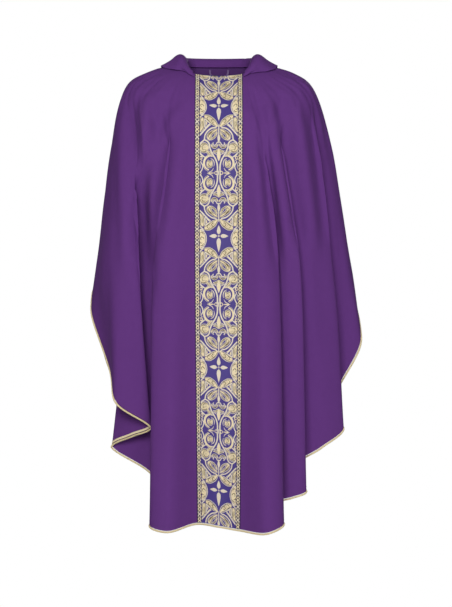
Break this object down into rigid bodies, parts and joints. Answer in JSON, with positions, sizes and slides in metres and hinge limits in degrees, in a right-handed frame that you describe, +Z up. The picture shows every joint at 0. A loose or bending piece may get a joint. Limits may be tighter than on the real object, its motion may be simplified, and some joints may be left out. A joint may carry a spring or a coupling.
{
  "type": "chasuble",
  "caption": "Full-length draped church vestment with a rolled collar, a brocade band down the front and the back, deep hanging folds and a gold cord round the hem.",
  "frame": {"origin": "middle of the neck opening, level with the tops of the shoulders, where the garment is carried", "axes": "+Z up, -Y towards the front of the garment, +X towards the wearer's left-hand side"},
  "size_m": [0.7677, 0.5322, 1.3306],
  "materials": {
    "cloth": "matt purple wool-blend twill",
    "brocade": "blue-violet figured brocade with cream and gold threads",
    "galloon": "woven edging, cream and gold knots on dark violet",
    "gold_cord": "twisted metallic gold thread",
    "lining": "smooth dark purple lining cloth",
    "label": "blank woven cream tape"
  },
  "bodies": {
    "garment": {"front_left_panel": "cloth", "front_right_panel": "cloth", "back_left_panel": "cloth", "back_right_panel": "cloth", "front_band": "brocade", "back_band": "brocade", "front_galloon_left": "galloon", "front_galloon_right": "galloon", "back_galloon_left": "galloon", "back_galloon_right": "galloon", "front_neck_facing": "lining", "back_neck_facing": "lining", "collar": "cloth", "hem_binding": "gold_cord", "hem_cord": "gold_cord"},
    "loop": {"hanger_loop": "lining"},
    "label": {"size_label": "label"}
  },
  "joints": [
    {"name": "loop_swing", "type": "hinge", "parent": "garment", "child": "loop", "pos_m": [0, 0.08271, 0.00056], "axis": [-1, 0, 0], "range_deg": [0, 150]},
    {"name": "label_swing", "type": "hinge", "parent": "garment", "child": "label", "pos_m": [0, 0.10365, -0.04038], "axis": [-1, 0, 0], "range_deg": [0, 110]}
  ]
}
